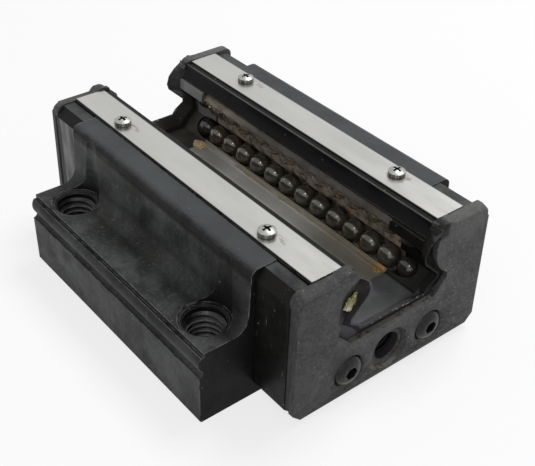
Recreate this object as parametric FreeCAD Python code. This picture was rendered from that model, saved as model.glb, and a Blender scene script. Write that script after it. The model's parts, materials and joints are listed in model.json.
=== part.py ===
import FreeCAD, Part
import math
import os

# Flanged linear guide block with four recirculating ball rows.
# It lies on its mounting face with the rail channel open upwards.
# Millimetres. The origin is the middle of the mounting face, +Z points up out of the
# channel, Y runs along the rail and X across it.

# Overall sizes
WIDTH = 70.0
LENGTH = 83.1
HEIGHT = 30.75
BODY_LENGTH = 59.5
END_PLATE_THICK = 8.6
END_SEAL_THICK = 1.3
END_COVER_THICK = 1.2

# Steel body section, right half
EDGE_CHAMFER = 0.3
SIDE_WALL_Z = 10.7
SIDE_GROOVE_DEPTH = 0.85
SIDE_GROOVE_WIDTH = 1.7
RIB_INSET = 0.3
RIB_BULGE = (0.05, 13.8)
RIB_TOP = (0.6, 15.2)
STEP_INSET = 1.15
STEP_Z = 15.1
FLANGE_TOP_Z = 16.0
WALL_FOOT_X = 24.4
WALL_HEAD_X = 23.9
FOOT_FILLET = 3.2
LAND_X = 22.3
LAND_Z = 28.9
LAND_ROUND_Z = 27.0
LAND_SHOULDER = (23.5, 28.35)
POCKET_X = 18.42
POCKET_Z = 27.9
STEEL_FLOOR_Z = 11.9
SEAT_ANGLE = math.radians(80.0)
FOOT_ANGLE = math.radians(-108.0)

# Mounting holes in the flanges, tapped for M8
MOUNT_X = 28.5
MOUNT_Y = 22.5
MOUNT_R = 4.0
MOUNT_CHAMFER = 0.4
SPOT_FACE_R = 4.9
SPOT_FACE_DEPTH = 0.3

# Ball rows: the loaded rows beside the rail, and the turns to the return bores
BALL_R = 4.7625 / 2
TRACK_R = 2.5
ROW_X = 11.5
ROW_Z = {"lower": 14.8, "upper": 22.6}
RIDGE_X = 12.5
TURN_R = 4.82
TURN_TILT = math.radians(34.0)
CORE_R = 4.52
ROW_BALLS = 12
TURN_BALLS = 3
BALL_PITCH = math.pi * TURN_R / TURN_BALLS
TURN_Y = ROW_BALLS * BALL_PITCH / 2

# Ball retainers
SHEET_BOTTOM_Z = 12.0
FLOOR_Z = 13.0
RETAINER_THICK = 0.8
RETAINER_TIP = math.radians(152.0)
RETAINER_LENGTH = 59.4
FLOOR_HOLE_R = 4.0
FLOOR_HOLE_Y = 21.5
FLOOR_POCKET_DEPTH = 2.0

# Side seals: a steel strip on a rubber lip, held by small screws
STRIP_X = (11.44, 18.14)
STRIP_BOTTOM_Z = 28.4
STRIP_TOP_Z = 29.4
STRIP_LENGTH = 76.6
STRIP_SCREW_X = 15.7
STRIP_SCREW_Y = 23.5
STRIP_HOLE_R = 1.15
LIP_RIDGE = (10.25, 29.05)
LIP_TIP = (8.85, 26.2)

# End plates, and the rubber seal and stiff cover on each
END_X = 23.0
END_BOTTOM_Z = 1.3
PLATE_TOP_Z = 28.7
PLATE_CHAMFER = 1.5
PLATE_SHOULDER = (1.9, 1.85)
COVER_X = (23.1, 22.7)
COVER_CHAMFER = 1.8
COVER_SHOULDER = (1.7, 1.7)
COVER_TOP_Z = 28.6
CROWN_Z = 29.6
CROWN_FOOT_X = 13.5
CROWN_SWELL = 0.72
CROWN_FLAT = 0.35
SEAL_INSET = 0.25

# Rail opening of the cover: a lobe reaches under the rail's head and a notch clears it
COVER_LOBE = (9.6, 24.0)
COVER_LOBE_FOOT = (11.6, 19.3)
COVER_NOTCH_X = 13.4
COVER_NOTCH_Z = (16.6, 17.9)
COVER_CORNER_X = 10.2
COVER_FLOOR_Z = 13.4
COVER_CROWN_X = 12.0

# Rail openings as corners of their right half, from the floor up
PLATE_OPENING = ((9.1, 13.0), (12.3, 16.6), (12.3, 20.0), (10.6, 21.2), (8.2, 23.6), (8.4, 25.7), (9.7, 25.9),
                 (11.2, 27.9))
SEAL_BASE = ((8.0, 14.0), (9.2, 15.6), (11.6, 17.7), (11.6, 19.5), (8.4, 22.8), (8.1, 24.1), (8.5, 25.3),
             (9.2, 26.4), (9.9, 27.3))
LIP_FOOT = ((8.3, 14.1), (9.7, 15.7), (12.0, 17.6), (11.2, 19.4), (8.5, 23.1), (8.2, 24.1), (8.6, 25.2),
            (9.4, 26.3), (10.25, 27.2))
LIP_LAND = ((7.55, 15.5), (8.45, 16.6), (10.75, 18.1), (10.75, 19.15), (7.05, 22.75), (6.65, 24.0),
            (7.2, 25.75), (8.65, 27.1), (10.35, 28.2))
LIP_CREST = ((7.4, 15.85), (8.2, 16.9), (10.4, 18.3), (10.4, 19.0), (6.7, 22.6), (6.3, 24.0), (6.9, 25.9),
             (8.4, 27.4), (10.1, 28.5))
LIP_TOP_Z = 28.9
SEAL_CROWN_X = 11.2

# End screws and grease ports
FITTING_Z = 6.5
END_SCREW_X = 10.1
END_SCREW_SEAT = 0.9
END_SCREW_CLEARANCE_R = 2.15
END_SCREW_HEAD_R = 3.3
PORT_R = 3.0
PORT_RECESS_R = 4.5
PORT_RECESS_DEPTH = 0.9
HEAD_GAP = 0.25

BODY_END = BODY_LENGTH / 2
PLATE_END = BODY_END + END_PLATE_THICK
SEAL_END = PLATE_END + END_SEAL_THICK
COVER_END = SEAL_END + END_COVER_THICK
OVERSHOOT = 1.0
SIDES = {"right": 1, "left": -1}
ENDS = {"front": -1, "rear": 1}
ORIGIN = FreeCAD.Vector(0, 0, 0)
X_AXIS = FreeCAD.Vector(1, 0, 0)
Y_AXIS = FreeCAD.Vector(0, 1, 0)
Z_AXIS = FreeCAD.Vector(0, 0, 1)


class Outline:
    """A closed outline drawn from point to point with lines and arcs in the X-Z plane."""

    def __init__(self, x, z):
        self.start = FreeCAD.Vector(x, 0, z)
        self.pen = self.start
        self.edges = []

    def line(self, x, z):
        end = FreeCAD.Vector(x, 0, z)
        self.edges.append(Part.makeLine(self.pen, end))
        self.pen = end
        return self

    def arc(self, through, end):
        middle = FreeCAD.Vector(through[0], 0, through[1])
        last = FreeCAD.Vector(end[0], 0, end[1])
        self.edges.append(Part.Arc(self.pen, middle, last).toShape())
        self.pen = last
        return self

    def dome(self, apex_z):
        """Round a turned profile off from the pen to its apex on the axis."""
        rise = apex_z - self.pen.z
        radius = (self.pen.x ** 2 + rise ** 2) / (2 * rise)
        middle = self.pen.x / 2
        return self.arc((middle, apex_z - radius + math.sqrt(radius ** 2 - middle ** 2)), (0, apex_z))

    def face(self):
        if not self.pen.isEqual(self.start, 1e-7):
            self.line(self.start.x, self.start.z)
        return Part.Face(Part.Wire(self.edges))

    def prism(self, y_from, y_to):
        face = self.face()
        face.translate(FreeCAD.Vector(0, y_from, 0))
        return face.extrude(FreeCAD.Vector(0, y_to - y_from, 0))

    def turned(self):
        return self.face().revolve(ORIGIN, Z_AXIS, 360)


def mirrored(shape, axis):
    return shape.mirror(ORIGIN, axis)


def whole(half):
    """Both halves of a piece that is symmetric about the Y-Z plane, as one solid."""
    return half.fuse(mirrored(half, X_AXIS)).removeSplitter()


def drill(x, y, z, radius, depth, direction):
    """A round cutter that starts at a point and runs along a direction."""
    return Part.makeCylinder(radius, depth, FreeCAD.Vector(x, y, z), direction)


def placed(shape, x, y, z, direction):
    """A copy of a turned piece with its +Z axis laid along a direction at a point."""
    turn = FreeCAD.Rotation(Z_AXIS, direction)
    copy = shape.copy()
    copy.Placement = FreeCAD.Placement(FreeCAD.Vector(x, y, z), turn)
    return copy


def around_row(level, radius, angle):
    """A point on a circle around the right-hand row of a level, in the X-Z section."""
    return ROW_X + radius * math.cos(angle), ROW_Z[level] + radius * math.sin(angle)


def row_to_turn(distance):
    """The step in X and Z from a row's centre along its tilted circuit plane."""
    return distance * math.cos(TURN_TILT), -distance * math.sin(TURN_TILT)


# Ball circuits

def turn_axis():
    """The direction that a right-hand turn is bent about."""
    return FreeCAD.Vector(math.sin(TURN_TILT), 0, math.cos(TURN_TILT))


def turn_centre(level):
    step_x, step_z = row_to_turn(TURN_R)
    return FreeCAD.Vector(ROW_X + step_x, TURN_Y, ROW_Z[level] + step_z)


def turn_track(level):
    """The bent tube that takes the balls from the right-hand row to its return, rear end."""
    row = FreeCAD.Vector(ROW_X, TURN_Y, ROW_Z[level])
    ring = Part.Face(Part.Wire(Part.makeCircle(TRACK_R, row, Y_AXIS)))
    bend = ring.revolve(turn_centre(level), turn_axis() * -1, 180)
    lead = TURN_Y - BODY_END + OVERSHOOT
    back_x, back_z = row_to_turn(2 * TURN_R)
    tube = bend
    for x, z in ((0, 0), (back_x, back_z)):
        tube = tube.fuse(drill(row.x + x, TURN_Y, row.z + z, TRACK_R, lead, Y_AXIS * -1))
    return tube


def guide_blank():
    """The two half-round cores that the right-hand balls run round, rear end, without tracks."""
    wall = 0.5
    gap = (ROW_Z["upper"] - ROW_Z["lower"]) * math.cos(TURN_TILT)
    corner = FreeCAD.Vector(RIDGE_X + wall, BODY_END, 0)
    keep = Part.makeBox(END_X - RIDGE_X, END_PLATE_THICK, HEIGHT, corner)
    cores = []
    for level in ROW_Z:
        centre = turn_centre(level)
        foot = centre - turn_axis() * (gap / 2)
        cores.append(Part.makeCylinder(CORE_R, gap, foot, turn_axis()))
    return cores[0].fuse(cores[1]).common(keep).removeSplitter()


def ball(x, y, z):
    return Part.makeSphere(BALL_R, FreeCAD.Vector(x, y, z))


def straight_balls(x, z):
    first = -(ROW_BALLS - 1) / 2
    return [ball(x, (first + k) * BALL_PITCH, z) for k in range(ROW_BALLS)]


def turn_balls(level):
    """Balls spread evenly round the right-hand turn at the rear end."""
    centre = turn_centre(level)
    balls = []
    for k in range(TURN_BALLS):
        angle = math.pi * (k + 0.5) / TURN_BALLS
        step_x, step_z = row_to_turn(-TURN_R * math.cos(angle))
        balls.append(ball(centre.x + step_x, TURN_Y + TURN_R * math.sin(angle), centre.z + step_z))
    return balls


def ball_groups(level):
    """The right-hand circuit's balls in the four stretches that they run through."""
    back_x, back_z = row_to_turn(2 * TURN_R)
    rear = Part.Compound(turn_balls(level))
    return {
        "track": Part.Compound(straight_balls(ROW_X, ROW_Z[level])),
        "return": Part.Compound(straight_balls(ROW_X + back_x, ROW_Z[level] + back_z)),
        "rear_turn": rear,
        "front_turn": mirrored(rear, Y_AXIS),
    }


# Steel body

def body_section():
    """Right half of the drawn and ground steel section."""
    side = WIDTH / 2
    ridge_angle = math.acos((RIDGE_X - ROW_X) / TRACK_R)
    fillet_x = WALL_FOOT_X + FOOT_FILLET
    fillet_z = FLANGE_TOP_Z + FOOT_FILLET
    fillet_reach = FOOT_FILLET * math.sqrt(0.5)
    seat = around_row("upper", TRACK_R, SEAT_ANGLE)
    foot = around_row("lower", TRACK_R, FOOT_ANGLE)

    section = Outline(0, 0)
    section.line(side - EDGE_CHAMFER, 0)
    section.line(side, EDGE_CHAMFER)
    section.line(side, SIDE_WALL_Z)
    # Groove above the ground side wall, then the rounded rib of the raw section
    groove_z = SIDE_WALL_Z + SIDE_GROOVE_WIDTH / 2
    section.arc((side - SIDE_GROOVE_DEPTH, groove_z), (side - RIB_INSET, SIDE_WALL_Z + SIDE_GROOVE_WIDTH))
    section.arc((side - RIB_BULGE[0], RIB_BULGE[1]), (side - RIB_TOP[0], RIB_TOP[1]))
    section.line(side - STEP_INSET, STEP_Z)
    section.line(side - STEP_INSET, FLANGE_TOP_Z)
    # Milled flange top and the wall that rises from it
    section.line(fillet_x, FLANGE_TOP_Z)
    section.arc((fillet_x - fillet_reach, fillet_z - fillet_reach), (WALL_FOOT_X, fillet_z))
    section.line(WALL_HEAD_X, LAND_ROUND_Z)
    section.arc(LAND_SHOULDER, (LAND_X, LAND_Z))
    section.line(POCKET_X, LAND_Z)
    section.line(POCKET_X, POCKET_Z)
    # Inner wall with the two ball grooves and the ridge between them
    section.line(seat[0], POCKET_Z)
    section.line(*seat)
    section.arc(around_row("upper", TRACK_R, 0), around_row("upper", TRACK_R, -ridge_angle))
    section.line(*around_row("lower", TRACK_R, ridge_angle))
    section.arc(around_row("lower", TRACK_R, 0), foot)
    section.line(foot[0], STEEL_FLOOR_Z)
    section.line(0, STEEL_FLOOR_Z)
    return section


def mount_hole(x, y):
    """Cutter for one mounting hole: bore, rim chamfers and the spot face, milled down the wall."""
    rim_r = MOUNT_R + MOUNT_CHAMFER
    seat_z = FLANGE_TOP_Z - SPOT_FACE_DEPTH
    bore = drill(x, y, -OVERSHOOT, MOUNT_R, FLANGE_TOP_Z + OVERSHOOT, Z_AXIS)
    top = Part.makeCone(MOUNT_R, rim_r, MOUNT_CHAMFER, FreeCAD.Vector(x, y, seat_z - MOUNT_CHAMFER))
    bottom = Part.makeCone(rim_r, MOUNT_R, MOUNT_CHAMFER, FreeCAD.Vector(x, y, 0))
    spot_face = drill(x, y, seat_z, SPOT_FACE_R, HEIGHT - seat_z, Z_AXIS)
    return bore.multiFuse([top, bottom, spot_face])


def carriage_body():
    thread_r = 2.0
    thread_depth = 9.0
    strip_thread_r = 1.0
    strip_thread_depth = 5.0
    body = whole(body_section().prism(-BODY_END, BODY_END))
    cutters = []
    back_x, back_z = row_to_turn(2 * TURN_R)
    for side in SIDES.values():
        for level in ROW_Z:
            x = side * (ROW_X + back_x)
            z = ROW_Z[level] + back_z
            cutters.append(drill(x, -BODY_END - OVERSHOOT, z, TRACK_R, BODY_LENGTH + 2 * OVERSHOOT, Y_AXIS))
        for end in ENDS.values():
            cutters.append(mount_hole(side * MOUNT_X, end * MOUNT_Y))
            start = end * BODY_END
            cutters.append(drill(side * END_SCREW_X, start, FITTING_Z, thread_r, thread_depth, Y_AXIS * -end))
            hole_x = side * STRIP_SCREW_X
            hole_y = end * STRIP_SCREW_Y
            cutters.append(drill(hole_x, hole_y, POCKET_Z, strip_thread_r, strip_thread_depth, Z_AXIS * -1))
    for end in ENDS.values():
        pocket_z = STEEL_FLOOR_Z - FLOOR_POCKET_DEPTH
        depth = FLOOR_POCKET_DEPTH + OVERSHOOT
        cutters.append(drill(0, end * FLOOR_HOLE_Y, pocket_z, FLOOR_HOLE_R, depth, Z_AXIS))
    return body.cut(cutters)


# Ball retainers

def floor_retainer():
    """Formed sheet on the channel floor whose raised edges hold the lower rows."""
    tip = -RETAINER_TIP
    heel = math.radians(-114.0)
    rise = 0.5
    outer_r = TRACK_R + RETAINER_THICK
    heel_point = around_row("lower", TRACK_R, heel)
    mid_point = around_row("lower", TRACK_R, (tip + heel) / 2)
    sheet = Outline(0, SHEET_BOTTOM_Z)
    sheet.line(heel_point[0], SHEET_BOTTOM_Z)
    sheet.line(*heel_point)
    sheet.arc(mid_point, around_row("lower", TRACK_R, tip))
    sheet.line(*around_row("lower", outer_r, tip))
    sheet.line(ROW_X - outer_r - rise, FLOOR_Z)
    sheet.line(0, FLOOR_Z)
    retainer = whole(sheet.prism(-RETAINER_LENGTH / 2, RETAINER_LENGTH / 2))
    holes = []
    for end in ENDS.values():
        depth = FLOOR_Z - SHEET_BOTTOM_Z + 2 * OVERSHOOT
        holes.append(drill(0, end * FLOOR_HOLE_Y, SHEET_BOTTOM_Z - OVERSHOOT, FLOOR_HOLE_R, depth, Z_AXIS))
    return retainer.cut(holes)


def upper_retainer():
    """Right-hand formed strip under the side seal that holds the upper row."""
    heel = math.radians(84.0)
    crown = math.radians(116.0)
    wall = 0.85
    gap = 0.05
    bend_z = POCKET_Z - 1.3
    top_z = POCKET_Z - gap
    outer_r = TRACK_R + RETAINER_THICK
    back_x = around_row("upper", TRACK_R, SEAT_ANGLE)[0] - gap
    inner_mid = around_row("upper", TRACK_R, (heel + RETAINER_TIP) / 2)
    outer_mid = around_row("upper", outer_r, (crown + RETAINER_TIP) / 2)
    strip = Outline(*around_row("upper", TRACK_R, heel))
    strip.arc(inner_mid, around_row("upper", TRACK_R, RETAINER_TIP))
    strip.line(*around_row("upper", outer_r, RETAINER_TIP))
    strip.arc(outer_mid, around_row("upper", outer_r, crown))
    strip.line(back_x - wall, bend_z)
    strip.line(back_x - wall, top_z)
    strip.line(back_x, top_z)
    strip.line(back_x, around_row("upper", TRACK_R, heel)[1])
    return strip.prism(-RETAINER_LENGTH / 2, RETAINER_LENGTH / 2)


# Side seals

def strip_holes():
    depth = HEIGHT - POCKET_Z
    return [drill(STRIP_SCREW_X, end * STRIP_SCREW_Y, POCKET_Z - OVERSHOOT / 2, STRIP_HOLE_R, depth, Z_AXIS)
            for end in ENDS.values()]


def side_seal_strip():
    """Right-hand satin steel strip."""
    inner, outer = STRIP_X
    section = Outline(inner, STRIP_BOTTOM_Z)
    section.line(outer, STRIP_BOTTOM_Z)
    section.line(outer, STRIP_TOP_Z)
    section.line(inner, STRIP_TOP_Z)
    return section.prism(-STRIP_LENGTH / 2, STRIP_LENGTH / 2).cut(strip_holes())


def side_seal_lip():
    """Right-hand rubber bed of the strip with the lip that wipes the rail."""
    slack = 0.02
    rim = 0.2
    drop = 0.3
    hollow = 0.12
    thick = 0.42
    inner = STRIP_X[0] - slack
    outer = STRIP_X[1] + slack
    rim_z = STRIP_TOP_Z - drop
    ridge_x, ridge_z = LIP_RIDGE
    tip_x, tip_z = LIP_TIP
    mid_x = (ridge_x + tip_x) / 2 + hollow
    mid_z = (ridge_z + tip_z) / 2 - hollow
    section = Outline(outer + rim, POCKET_Z)
    section.line(outer + rim, rim_z)
    section.line(outer, rim_z)
    section.line(outer, STRIP_BOTTOM_Z)
    section.line(inner, STRIP_BOTTOM_Z)
    section.line(inner, rim_z)
    # From a broad rim beside the strip the lip curves down towards the rail
    section.line(*LIP_RIDGE)
    section.arc((mid_x, mid_z), LIP_TIP)
    section.line(tip_x + thick, tip_z - hollow)
    section.arc((mid_x + thick, mid_z - thick / 2), (ridge_x + 2 * thick, POCKET_Z))
    return section.prism(-STRIP_LENGTH / 2, STRIP_LENGTH / 2).cut(strip_holes())


def strip_screw():
    """Pan head screw with a cross recess, seated at Z 0."""
    head_r = 1.7
    head_z = HEIGHT - STRIP_TOP_Z
    shank_r = 0.97
    tip_z = STRIP_TOP_Z - POCKET_Z + 4.0
    tip_chamfer = 0.4
    rim_z = 0.85
    slot_width = 0.5
    slot_length = 1.9
    slot_depth = 0.65
    profile = Outline(0, -tip_z)
    profile.line(shank_r - tip_chamfer, -tip_z)
    profile.line(shank_r, -tip_z + tip_chamfer)
    profile.line(shank_r, 0)
    profile.line(head_r, 0)
    profile.line(head_r, rim_z)
    profile.dome(head_z)
    screw = profile.turned()
    corner = FreeCAD.Vector(-slot_length / 2, -slot_width / 2, head_z - slot_depth)
    slot = Part.makeBox(slot_length, slot_width, head_z, corner)
    cross = slot.copy()
    cross.rotate(ORIGIN, Z_AXIS, 90)
    return screw.cut([slot, cross])


def strip_screws(side):
    screw = strip_screw()
    return Part.Compound([placed(screw, side * STRIP_SCREW_X, end * STRIP_SCREW_Y, STRIP_TOP_Z, Z_AXIS)
                          for end in ENDS.values()])


# End plates, seals and their fittings

def plate_section():
    """Right half of the moulded end plate."""
    section = Outline(0, END_BOTTOM_Z)
    section.line(END_X - PLATE_CHAMFER, END_BOTTOM_Z)
    section.line(END_X, END_BOTTOM_Z + PLATE_CHAMFER)
    section.line(END_X, PLATE_TOP_Z - PLATE_SHOULDER[1])
    section.line(END_X - PLATE_SHOULDER[0], PLATE_TOP_Z)
    section.line(POCKET_X, PLATE_TOP_Z)
    section.line(POCKET_X, POCKET_Z)
    for corner in reversed(PLATE_OPENING):
        section.line(*corner)
    section.line(0, PLATE_OPENING[0][1])
    return section


def cover_section(inset, crown_x):
    """Right half of the outline that the end seal and its cover share, up to the crown."""
    low_x = COVER_X[0] - inset
    high_x = COVER_X[1] - inset
    bottom_z = END_BOTTOM_Z + inset
    top_z = COVER_TOP_Z - inset
    crown_z = CROWN_Z - inset
    flat_x = crown_x + CROWN_FLAT
    swell = ((CROWN_FOOT_X + flat_x) / 2, top_z + CROWN_SWELL * (crown_z - top_z))
    section = Outline(0, bottom_z)
    section.line(low_x - COVER_CHAMFER, bottom_z)
    section.line(low_x, bottom_z + COVER_CHAMFER)
    section.line(high_x, top_z - COVER_SHOULDER[1])
    section.line(high_x - COVER_SHOULDER[0], top_z)
    section.line(CROWN_FOOT_X, top_z)
    section.arc(swell, (flat_x, crown_z))
    section.line(crown_x, crown_z)
    return section


def opening_wire(corners, y, top_z):
    """Closed outline of a rail opening across one plane, from its corners on the right."""
    right = [*corners, (corners[-1][0], top_z)]
    left = [(-x, z) for x, z in reversed(right)]
    points = [FreeCAD.Vector(x, y, z) for x, z in right + left]
    return Part.makePolygon([*points, points[0]])


def opening_plug(first, first_y, last, last_y, top_z):
    """The solid that fills a rail opening whose outline changes evenly from one plane to another."""
    wires = [opening_wire(first, first_y, top_z), opening_wire(last, last_y, top_z)]
    return Part.makeLoft(wires, True, True)


def end_plate():
    """Rear end plate with the ball turns, screw holes, grease port and grease grooves."""
    groove = 1.0
    groove_z = 10.2
    groove_x = 17.8
    plate = whole(plate_section().prism(BODY_END, PLATE_END))
    cutters = []
    blank = guide_blank()
    for axis_side in SIDES.values():
        for cutter in [blank, turn_track("lower"), turn_track("upper")]:
            cutters.append(cutter if axis_side > 0 else mirrored(cutter, X_AXIS))
        x = axis_side * END_SCREW_X
        cutters.append(drill(x, BODY_END - OVERSHOOT, FITTING_Z, END_SCREW_CLEARANCE_R,
                             END_PLATE_THICK + 2 * OVERSHOOT, Y_AXIS))
    cutters.append(drill(0, BODY_END, FITTING_Z, PORT_R, END_PLATE_THICK, Y_AXIS))
    cross_corner = FreeCAD.Vector(-groove_x, BODY_END, groove_z)
    cutters.append(Part.makeBox(2 * groove_x, groove, groove, cross_corner))
    rise_corner = FreeCAD.Vector(-groove / 2, BODY_END, FITTING_Z)
    cutters.append(Part.makeBox(groove, groove, groove_z - FITTING_Z, rise_corner))
    return plate.cut(cutters)


def return_guide():
    """Right-hand rear guide piece: the half-round cores with their ball grooves."""
    return guide_blank().cut([turn_track("lower"), turn_track("upper")])


def end_seal():
    """Rear end seal: a flat rubber sheet with a lip that flares outwards along the rail."""
    root = 0.3
    sheet = cover_section(SEAL_INSET, SEAL_CROWN_X)
    sheet.line(0, CROWN_Z - SEAL_INSET)
    seal = whole(sheet.prism(PLATE_END, SEAL_END))
    seal = seal.fuse(opening_plug(LIP_FOOT, SEAL_END - root, LIP_LAND, COVER_END, LIP_TOP_Z))
    cutters = [opening_plug(SEAL_BASE, PLATE_END, LIP_CREST, COVER_END, HEIGHT)]
    cutters.append(drill(0, PLATE_END, FITTING_Z, PORT_R, END_SEAL_THICK, Y_AXIS))
    for side in SIDES.values():
        x = side * END_SCREW_X
        cutters.append(drill(x, PLATE_END, FITTING_Z, END_SCREW_CLEARANCE_R, END_SEAL_THICK, Y_AXIS))
    return seal.cut(cutters).removeSplitter()


def end_cover():
    """Rear cover over the end seal, with recesses for the screw heads and the grease port."""
    section = cover_section(0, COVER_CROWN_X)
    section.arc(COVER_LOBE, COVER_LOBE_FOOT)
    section.line(COVER_NOTCH_X, COVER_NOTCH_Z[1])
    section.line(COVER_NOTCH_X, COVER_NOTCH_Z[0])
    section.line(COVER_CORNER_X, COVER_FLOOR_Z)
    section.line(0, COVER_FLOOR_Z)
    cover = whole(section.prism(SEAL_END, COVER_END))
    recess_y = COVER_END - PORT_RECESS_DEPTH
    seat_y = COVER_END - END_SCREW_SEAT
    cutters = [drill(0, SEAL_END, FITTING_Z, PORT_R, END_COVER_THICK, Y_AXIS)]
    cutters.append(drill(0, recess_y, FITTING_Z, PORT_RECESS_R, PORT_RECESS_DEPTH, Y_AXIS))
    for side in SIDES.values():
        x = side * END_SCREW_X
        cutters.append(drill(x, SEAL_END, FITTING_Z, END_SCREW_CLEARANCE_R, END_COVER_THICK, Y_AXIS))
        cutters.append(drill(x, seat_y, FITTING_Z, END_SCREW_HEAD_R + HEAD_GAP, END_SCREW_SEAT, Y_AXIS))
    return cover.cut(cutters)


def hexagon_socket(across_flats, top_z, depth):
    corner_r = across_flats / math.sqrt(3)
    corners = []
    for k in range(7):
        angle = k * math.pi / 3
        corners.append(FreeCAD.Vector(corner_r * math.cos(angle), corner_r * math.sin(angle), top_z))
    return Part.Face(Part.makePolygon(corners)).extrude(FreeCAD.Vector(0, 0, -depth))


def end_screw():
    """Button head screw with a hexagon socket, seated at Z 0."""
    shank_r = 1.98
    crown_r = 1.5
    rim_z = 0.35
    shoulder = (2.45, 1.3)
    tip_chamfer = 0.5
    grip = 8.0
    socket_flats = 2.4
    socket_depth = 1.1
    seat_y = COVER_END - END_SCREW_SEAT
    head_z = LENGTH / 2 - seat_y
    tip_z = seat_y - BODY_END + grip
    profile = Outline(0, -tip_z)
    profile.line(shank_r - tip_chamfer, -tip_z)
    profile.line(shank_r, -tip_z + tip_chamfer)
    profile.line(shank_r, 0)
    profile.line(END_SCREW_HEAD_R, 0)
    profile.line(END_SCREW_HEAD_R, rim_z)
    profile.arc(shoulder, (crown_r, head_z))
    profile.line(0, head_z)
    return profile.turned().cut(hexagon_socket(socket_flats, head_z, socket_depth))


def end_screws(end):
    screw = end_screw()
    seat_y = end * (COVER_END - END_SCREW_SEAT)
    return Part.Compound([placed(screw, side * END_SCREW_X, seat_y, FITTING_Z, Y_AXIS * end)
                          for side in SIDES.values()])


def grease_plug():
    """Set screw that closes the rear grease port."""
    plug_r = PORT_R - 0.03
    length = 5.0
    chamfer = 0.45
    socket_flats = 3.0
    socket_depth = 2.5
    profile = Outline(0, -length)
    profile.line(plug_r - chamfer, -length)
    profile.line(plug_r, -length + chamfer)
    profile.line(plug_r, -chamfer)
    profile.line(plug_r - chamfer, 0)
    profile.line(0, 0)
    plug = profile.turned().cut(hexagon_socket(socket_flats, 0, socket_depth))
    return placed(plug, 0, PLATE_END, FITTING_Z, Y_AXIS)


def build():
    """Every piece by its node name."""
    rear_plate = end_plate()
    rear_seal = end_seal()
    rear_cover = end_cover()
    nodes = {
        "carriage_body": carriage_body(),
        "floor_retainer": floor_retainer(),
        "end_plate_rear": rear_plate,
        "end_plate_front": mirrored(rear_plate, Y_AXIS),
        "end_seal_rear": rear_seal,
        "end_seal_front": mirrored(rear_seal, Y_AXIS),
        "end_cover_rear": rear_cover,
        "end_cover_front": mirrored(rear_cover, Y_AXIS),
        "grease_plug": grease_plug(),
    }
    for end, direction in ENDS.items():
        nodes["end_screws_" + end] = end_screws(direction)
    guide = return_guide()
    pieces = {
        "upper_retainer_{}": upper_retainer(),
        "side_seal_strip_{}": side_seal_strip(),
        "side_seal_lip_{}": side_seal_lip(),
        "return_guide_rear_{}": guide,
        "return_guide_front_{}": mirrored(guide, Y_AXIS),
    }
    for level in ROW_Z:
        for stretch, balls in ball_groups(level).items():
            pieces["balls_{}_" + level + "_" + stretch] = balls
    for side, direction in SIDES.items():
        for name, shape in pieces.items():
            nodes[name.format(side)] = shape if direction > 0 else mirrored(shape, X_AXIS)
        nodes["side_seal_screws_" + side] = strip_screws(direction)
    return nodes


os.makedirs("parts", exist_ok=True)
for node, shape in build().items():
    shape.exportStep("parts/" + node + ".step")
    state = "valid" if shape.isValid() else "INVALID"
    print(node, len(shape.Solids), "solids", round(shape.Volume, 1), "mm3", state)
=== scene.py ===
import json
import math

import bmesh
import bpy
from mathutils import Matrix, Vector, noise

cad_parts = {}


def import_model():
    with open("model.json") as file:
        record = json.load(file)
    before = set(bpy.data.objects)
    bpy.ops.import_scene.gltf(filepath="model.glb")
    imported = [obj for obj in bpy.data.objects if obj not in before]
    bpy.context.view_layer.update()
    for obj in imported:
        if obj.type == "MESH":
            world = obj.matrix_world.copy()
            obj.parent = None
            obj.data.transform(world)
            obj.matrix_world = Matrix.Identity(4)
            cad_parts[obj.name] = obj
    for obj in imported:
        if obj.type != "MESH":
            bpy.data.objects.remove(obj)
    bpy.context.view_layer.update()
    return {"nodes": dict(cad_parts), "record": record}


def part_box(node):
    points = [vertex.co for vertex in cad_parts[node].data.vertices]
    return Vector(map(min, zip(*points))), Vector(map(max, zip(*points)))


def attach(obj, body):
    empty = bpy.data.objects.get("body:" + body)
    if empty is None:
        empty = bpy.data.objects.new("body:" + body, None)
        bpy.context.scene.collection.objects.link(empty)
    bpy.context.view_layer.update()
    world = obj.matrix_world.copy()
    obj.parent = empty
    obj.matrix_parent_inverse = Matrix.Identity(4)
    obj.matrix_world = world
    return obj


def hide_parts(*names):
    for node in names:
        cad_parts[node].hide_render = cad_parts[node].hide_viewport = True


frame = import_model()
NODES = frame["nodes"]
BLOCK = "block"
MM = 0.001
SIDES = {"right": 1, "left": -1}
ENDS = {"front": -1, "rear": 1}

# Camera, in the photograph's frame
IMAGE_WIDTH = 535
FOCAL_PIXELS = 978.0
SENSOR = 36.0
NEAR_CLIP = 0.01
EYE = Vector((-101.86, -128.80, 130.34)) * MM
AIM = Vector((-0.58, -5.21, 12.0)) * MM
ROLL = math.radians(1.42)

# Lamps: place and side in metres, power in watts
LAMPS = {
    "key": ((0.27, 0.03, 0.534), 0.22, 2.1),
    "fill": ((-0.45, -0.40, 0.35), 0.50, 0.55),
    "glint": ((-0.14, -0.175, 0.30), 0.04, 0.12),
}
LAMP_AIM = Vector((0, 0, 0.015))

# Places that the looks refer to, in millimetres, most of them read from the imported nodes
MOUNTS = {mount["name"]: mount for mount in frame["record"]["mounts"]}
HOLES = MOUNTS["mount_holes"]["dims"]
PORT = MOUNTS["grease_port"]


def low_mm(node):
    """The lowest corner of a node's box."""
    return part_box(node)[0] / MM


def high_mm(node):
    """The highest corner of a node's box."""
    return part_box(node)[1] / MM


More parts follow.
